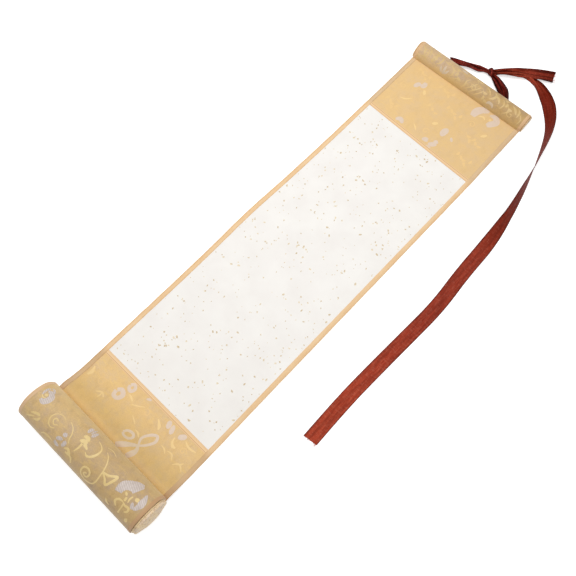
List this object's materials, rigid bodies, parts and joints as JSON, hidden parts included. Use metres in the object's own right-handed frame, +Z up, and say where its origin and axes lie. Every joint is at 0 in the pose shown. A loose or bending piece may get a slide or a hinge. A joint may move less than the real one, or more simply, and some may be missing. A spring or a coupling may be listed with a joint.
{
  "type": "hanging paper scroll",
  "caption": "Small hanging scroll, partly unrolled: gold-flecked paper in a brocade mount, rolled round a covered roller, with a wrapped stave and a red ribbon.",
  "frame": {"origin": "on the surface that the scroll lies on, under the middle of the scroll without its ribbon", "axes": "+X runs across the sheet to the viewer's right, +Y along the sheet from the roll to the stave, +Z up"},
  "size_m": [0.1926, 0.5772, 0.0356],
  "materials": {
    "backing_brocade": "woven brocade with a satin sheen",
    "panel_brocade": "woven brocade with a satin sheen",
    "edging_tape": "fine woven tape",
    "flecked_paper": "matt paper with small gold flecks",
    "pale_cloth": "fine plain cloth",
    "roller_wood": "plain sanded softwood",
    "red_ribbon": "woven satin ribbon"
  },
  "bodies": {
    "root": {"backing_brocade": "backing_brocade", "bottom_brocade_panel": "panel_brocade", "top_brocade_panel": "panel_brocade", "paper_panel": "flecked_paper", "paper_bottom_strip": "edging_tape", "paper_top_strip": "edging_tape", "edging_left": "edging_tape", "edging_right": "edging_tape", "bottom_roller": "roller_wood", "roller_end_cover_left": "backing_brocade", "roller_end_cover_right": "backing_brocade", "top_stave": "roller_wood", "stave_end_cover_left": "pale_cloth", "stave_end_cover_right": "pale_cloth", "ribbon_loop": "red_ribbon", "ribbon_knot": "red_ribbon", "ribbon_short_tail": "red_ribbon", "ribbon_long_tail": "red_ribbon"}
  },
  "joints": []
}
